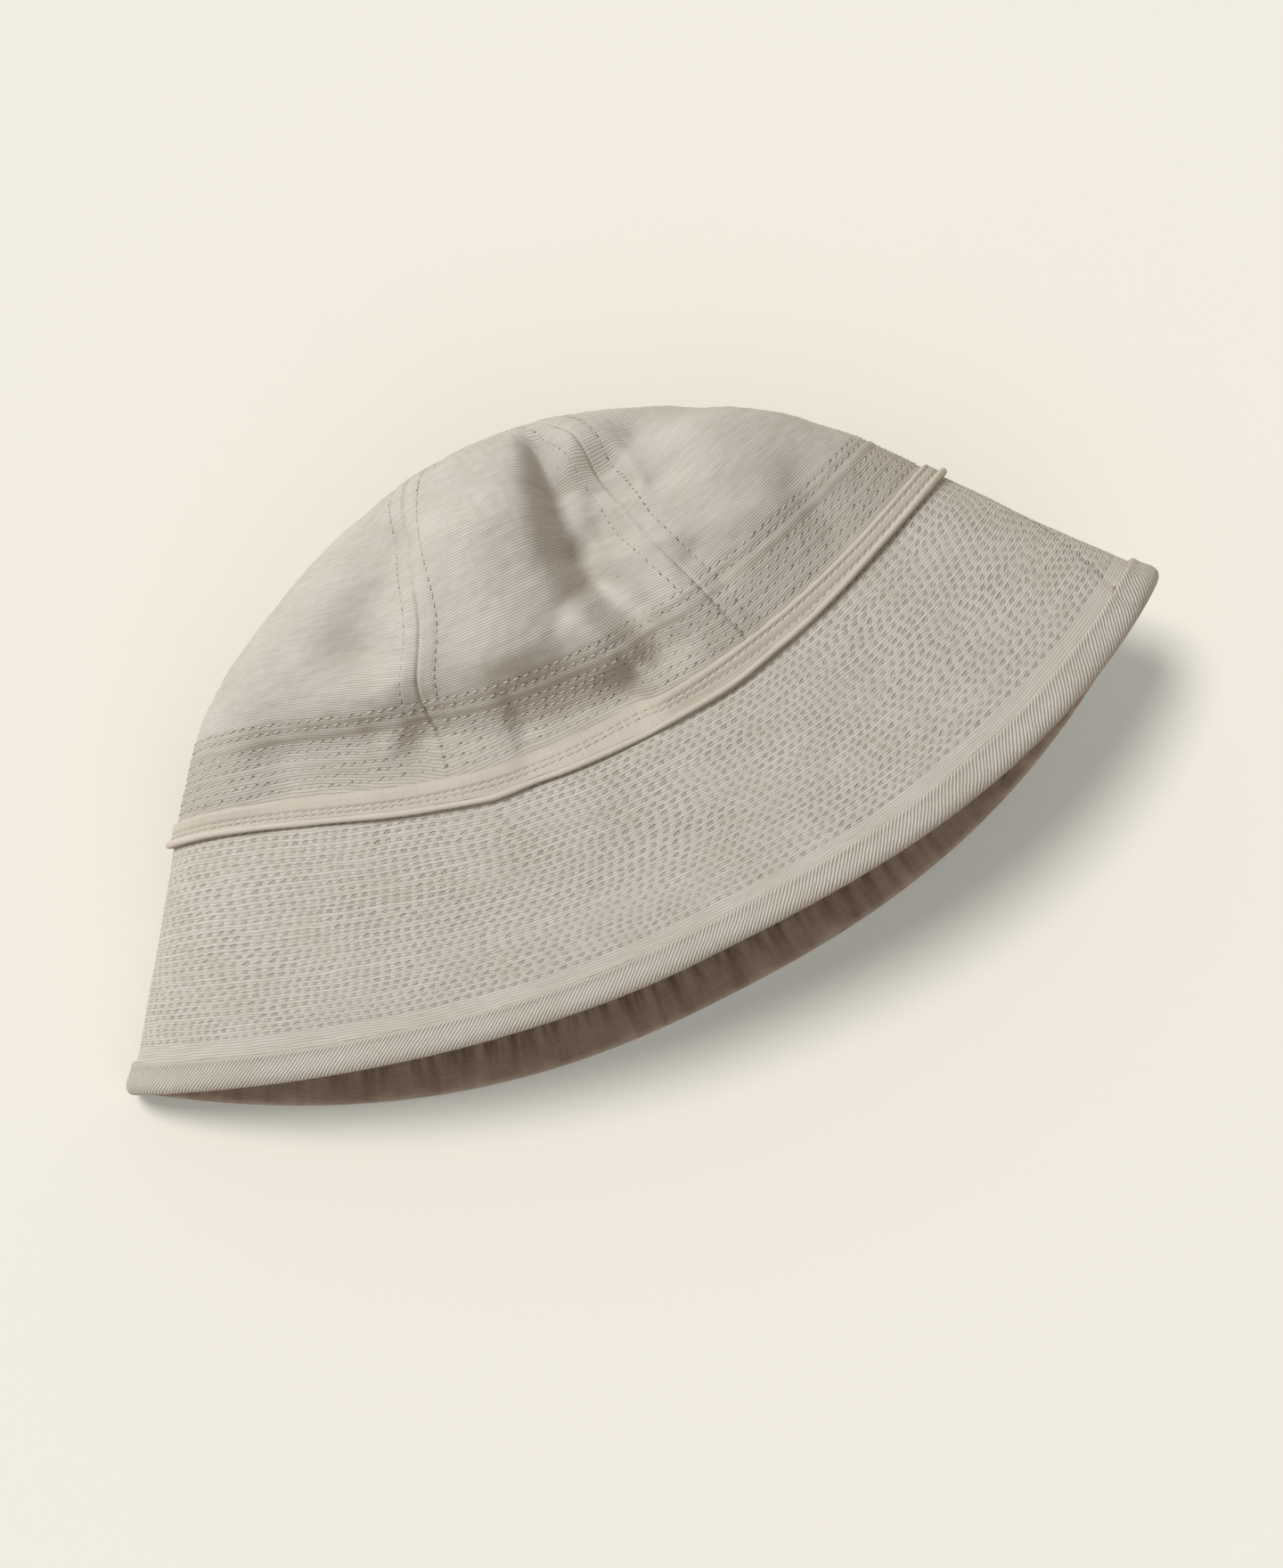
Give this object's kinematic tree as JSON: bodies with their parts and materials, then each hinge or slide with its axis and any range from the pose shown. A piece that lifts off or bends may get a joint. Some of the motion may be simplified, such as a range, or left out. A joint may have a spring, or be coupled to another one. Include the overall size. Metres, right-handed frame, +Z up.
{
  "type": "sailor cap",
  "caption": "Soft round cap of plain canvas with a panelled crown, a stitched band and a deep stitched brim with a bound edge, lying on its side.",
  "frame": {"origin": "under the middle of the cap's box, on the surface that the cap lies on", "axes": "+X along the chord of the brim's edge, from the front fold to the back fold; +Y from the brim to the crown; +Z up, towards the camera of the picture"},
  "size_m": [0.3521, 0.1869, 0.0994],
  "materials": {
    "canvas": "coarse plain-weave cotton duck, matte",
    "quilted_canvas": "doubled cotton duck quilted with close rows of stitches, matte",
    "tape": "fine cotton tape, matte",
    "twill_binding": "cotton twill cut on the slant, matte"
  },
  "bodies": {
    "root": {"panel_back_upper": "canvas", "panel_middle_upper": "canvas", "panel_front_upper": "canvas", "panel_front_under": "canvas", "panel_middle_under": "canvas", "panel_back_under": "canvas", "brim": "quilted_canvas", "band_piping": "tape", "band_tape": "tape", "brim_binding": "twill_binding"}
  },
  "joints": []
}
